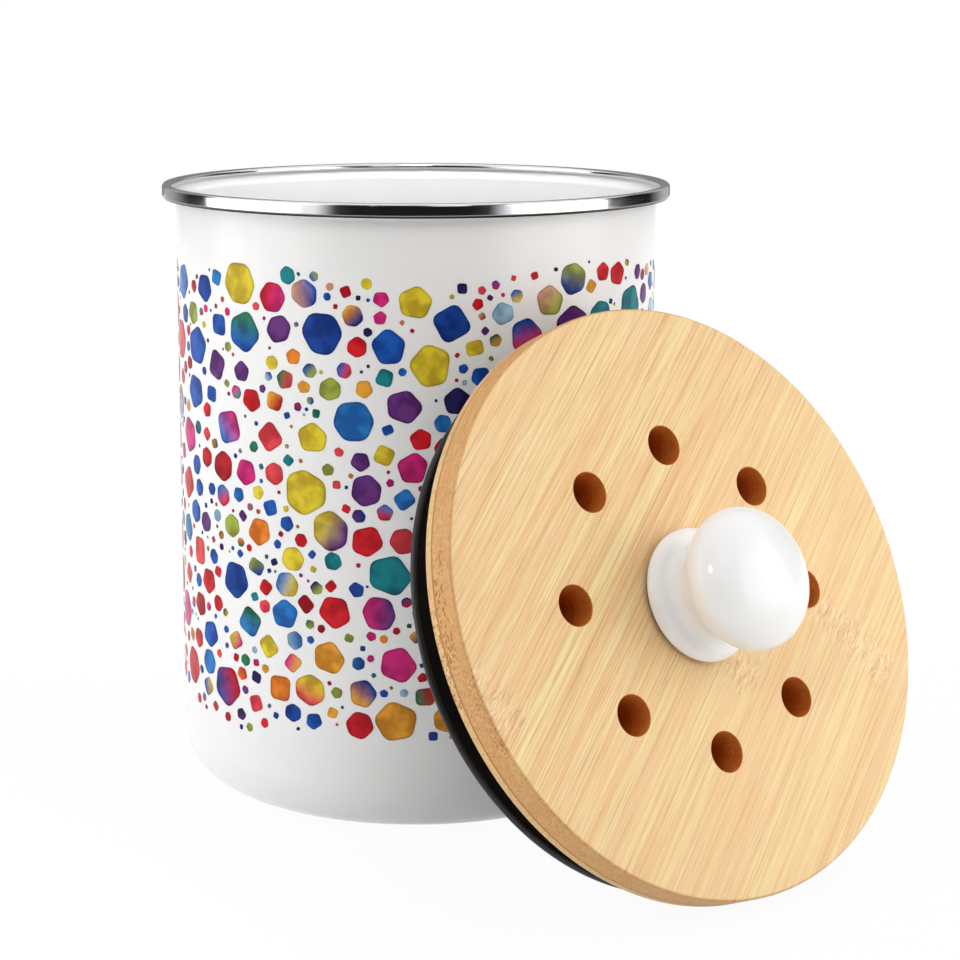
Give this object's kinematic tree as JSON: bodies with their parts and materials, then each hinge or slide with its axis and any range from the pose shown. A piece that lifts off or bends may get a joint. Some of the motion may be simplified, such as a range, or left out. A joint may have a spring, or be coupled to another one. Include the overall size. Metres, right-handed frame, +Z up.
{
  "type": "compost caddy",
  "caption": "Round enamelled kitchen compost caddy with a steel rim; its vented bamboo lid with ceramic knob, seal and charcoal filter leans on it.",
  "frame": {"origin": "middle of the can's flat base, on the surface it stands on", "axes": "+Z up along the can's axis; the lid stands on the floor at the -Y side and leans on the can's wall, its face towards -Y"},
  "size_m": [0.1773, 0.255, 0.198],
  "materials": {
    "enamel": "glossy white vitreous enamel with a fired multicolour decal on the wall",
    "rim_steel": "polished stainless steel",
    "bamboo": "sanded and oiled three-ply bamboo",
    "silicone": "satin black silicone",
    "glaze": "glossy white glaze",
    "soft_washer": "matt dark fibre rubber",
    "brass": "turned brass",
    "zinc_steel": "bright zinc-plated steel",
    "black_plastic": "fine matt moulded polypropylene",
    "charcoal_felt": "needled charcoal felt"
  },
  "bodies": {
    "can": {"can_body": "enamel", "rim_band": "rim_steel"},
    "lid": {"lid_board": "bamboo", "lid_plug": "bamboo", "lid_seal": "silicone", "knob": "glaze", "knob_bush": "brass", "knob_washer": "soft_washer", "knob_screw": "zinc_steel", "screw_washer": "zinc_steel", "filter_ring": "black_plastic", "filter_screw_1": "zinc_steel", "filter_screw_2": "zinc_steel", "filter_screw_3": "zinc_steel", "filter_screw_4": "zinc_steel", "carbon_filter": "charcoal_felt"},
    "grille": {"filter_grille": "black_plastic"}
  },
  "joints": [
    {"name": "lid_pull", "type": "slide", "parent": "can", "child": "lid", "axis": [0, -0.9107, 0.4131], "range_m": [0, 0.2]},
    {"name": "grille_twist", "type": "hinge", "parent": "lid", "child": "grille", "pos_m": [-0.0066, -0.12582, 0.08165], "axis": [0, -0.9107, 0.4131], "range_deg": [0, 45]}
  ]
}
